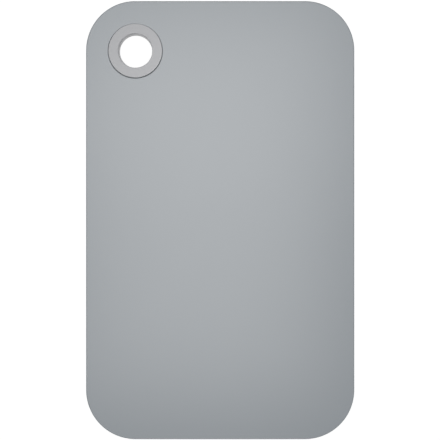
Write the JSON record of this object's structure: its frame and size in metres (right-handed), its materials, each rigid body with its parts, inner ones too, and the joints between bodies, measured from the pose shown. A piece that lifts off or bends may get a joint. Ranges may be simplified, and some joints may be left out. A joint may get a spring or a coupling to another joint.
{
  "type": "breakfast board",
  "caption": "Flat rectangular breakfast board in moulded plastic with widely rounded corners and a snap-in hanging eyelet in one corner, for slicing and serving on or hanging up.",
  "frame": {"origin": "on the plane the board rests on, under the middle of its outline", "axes": "+Z up out of the front face, +Y along the long side towards the end with the hanging hole, +X to the right as seen from above with +Y up; the hole is in the corner at -X, +Y"},
  "size_m": [0.15, 0.245, 0.0082],
  "materials": {
    "board_plastic": "satin",
    "eyelet_plastic": "satin"
  },
  "bodies": {
    "root": {"board": "board_plastic", "eyelet_front": "eyelet_plastic", "eyelet_back": "eyelet_plastic"}
  },
  "joints": []
}
